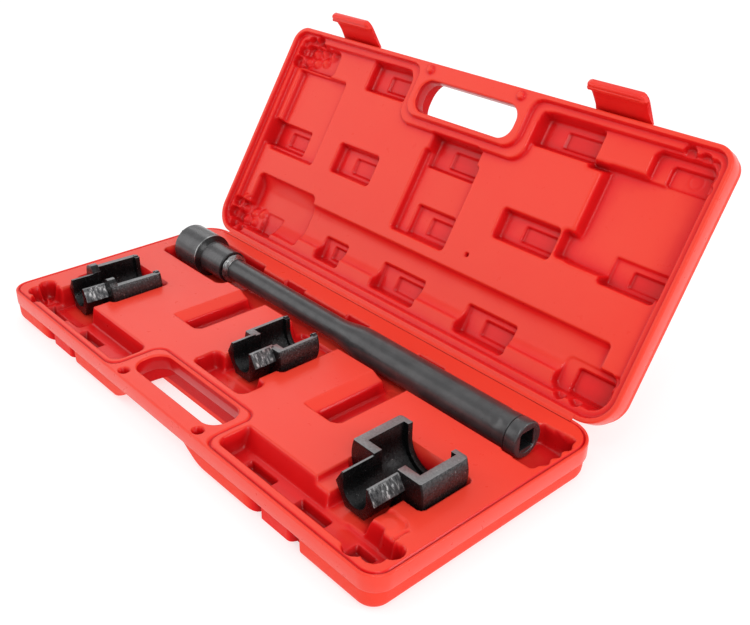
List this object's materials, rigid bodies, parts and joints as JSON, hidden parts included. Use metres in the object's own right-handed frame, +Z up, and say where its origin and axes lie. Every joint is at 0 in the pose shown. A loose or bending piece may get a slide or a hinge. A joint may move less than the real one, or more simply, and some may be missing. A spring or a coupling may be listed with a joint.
{
  "type": "inner tie rod tool set",
  "caption": "Long tube socket tool with a bell end and open-sided crowfoot adapters, laid in fitted pockets of a hinged moulded plastic carrying case with snap latches.",
  "frame": {"origin": "middle of the flat underside of the case's lower half", "axes": "+X along the hinge towards the tool's square drive end, +Y from the handle to the hinge, +Z up"},
  "size_m": [0.46, 0.3353, 0.2248],
  "materials": {
    "red_plastic": "bright red blow-moulded polyethylene, satin, spark-grained on the lower side walls",
    "black_steel": "black oxide on turned and swaged steel tube, satin with oiled highlights",
    "black_casting": "black oxide on rough cast steel with bright ground facets"
  },
  "bodies": {
    "base": {"case_base": "red_plastic", "lid_hinge_web": "red_plastic"},
    "lid": {"case_lid": "red_plastic", "latch_web_left": "red_plastic", "latch_web_right": "red_plastic"},
    "latch_l": {"latch_left": "red_plastic"},
    "latch_r": {"latch_right": "red_plastic"},
    "tube_tool": {"tool_tube": "black_steel", "tool_bell": "black_steel", "tool_weld_ring": "black_steel", "tool_drive_socket": "black_steel"},
    "small_adapter": {"adapter_small": "black_casting"},
    "medium_adapter": {"adapter_medium": "black_casting"},
    "large_adapter": {"adapter_large": "black_casting"}
  },
  "joints": [
    {"name": "lid_hinge", "type": "hinge", "parent": "base", "child": "lid", "pos_m": [0, 0.103, 0.0282], "axis": [-1, 0, 0], "range_deg": [-122, 0]},
    {"name": "latch_left_hinge", "type": "hinge", "parent": "lid", "child": "latch_l", "pos_m": [-0.148, 0.22132, 0.19906], "axis": [-1, 0, 0], "range_deg": [-27, 95]},
    {"name": "latch_right_hinge", "type": "hinge", "parent": "lid", "child": "latch_r", "pos_m": [0.1345, 0.22132, 0.19906], "axis": [-1, 0, 0], "range_deg": [-27, 95]},
    {"name": "tube_tool_lift", "type": "slide", "parent": "base", "child": "tube_tool", "axis": [0, 0, 1], "range_m": [0, 0.06]},
    {"name": "small_adapter_lift", "type": "slide", "parent": "base", "child": "small_adapter", "axis": [0, 0, 1], "range_m": [0, 0.05]},
    {"name": "medium_adapter_lift", "type": "slide", "parent": "base", "child": "medium_adapter", "axis": [0, 0, 1], "range_m": [0, 0.05]},
    {"name": "large_adapter_lift", "type": "slide", "parent": "base", "child": "large_adapter", "axis": [0, 0, 1], "range_m": [0, 0.05]}
  ]
}
